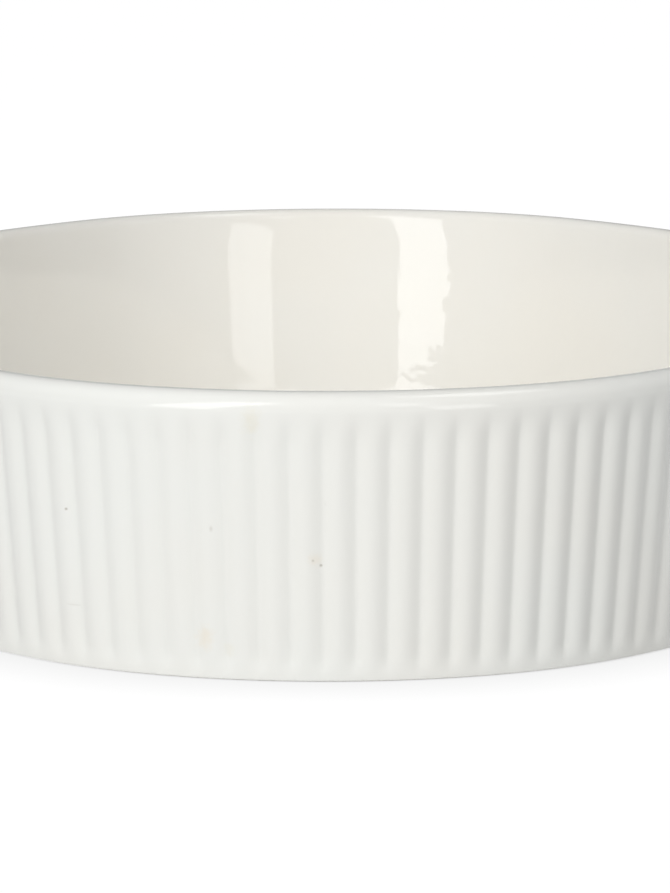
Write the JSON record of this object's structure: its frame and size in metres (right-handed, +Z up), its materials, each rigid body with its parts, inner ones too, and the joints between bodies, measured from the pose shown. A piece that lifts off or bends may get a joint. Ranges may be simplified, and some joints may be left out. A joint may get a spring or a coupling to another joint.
{
  "type": "oval ramekin",
  "caption": "Shallow oval ribbed ceramic ramekin, free-standing on a bare foot ring, for baking and serving single portions.",
  "frame": {"origin": "centre of the foot, on the surface the dish stands on", "axes": "+Z up through the open top, Y along the long axis of the oval, X across it"},
  "size_m": [0.14, 0.2, 0.032],
  "materials": {
    "bare_clay": "matt, unglazed",
    "lining_glaze": "gloss",
    "white_glaze": "gloss"
  },
  "bodies": {
    "root": {"clay_body": "bare_clay", "lining_glaze": "lining_glaze", "outer_glaze": "white_glaze", "base_glaze": "white_glaze"}
  },
  "joints": []
}
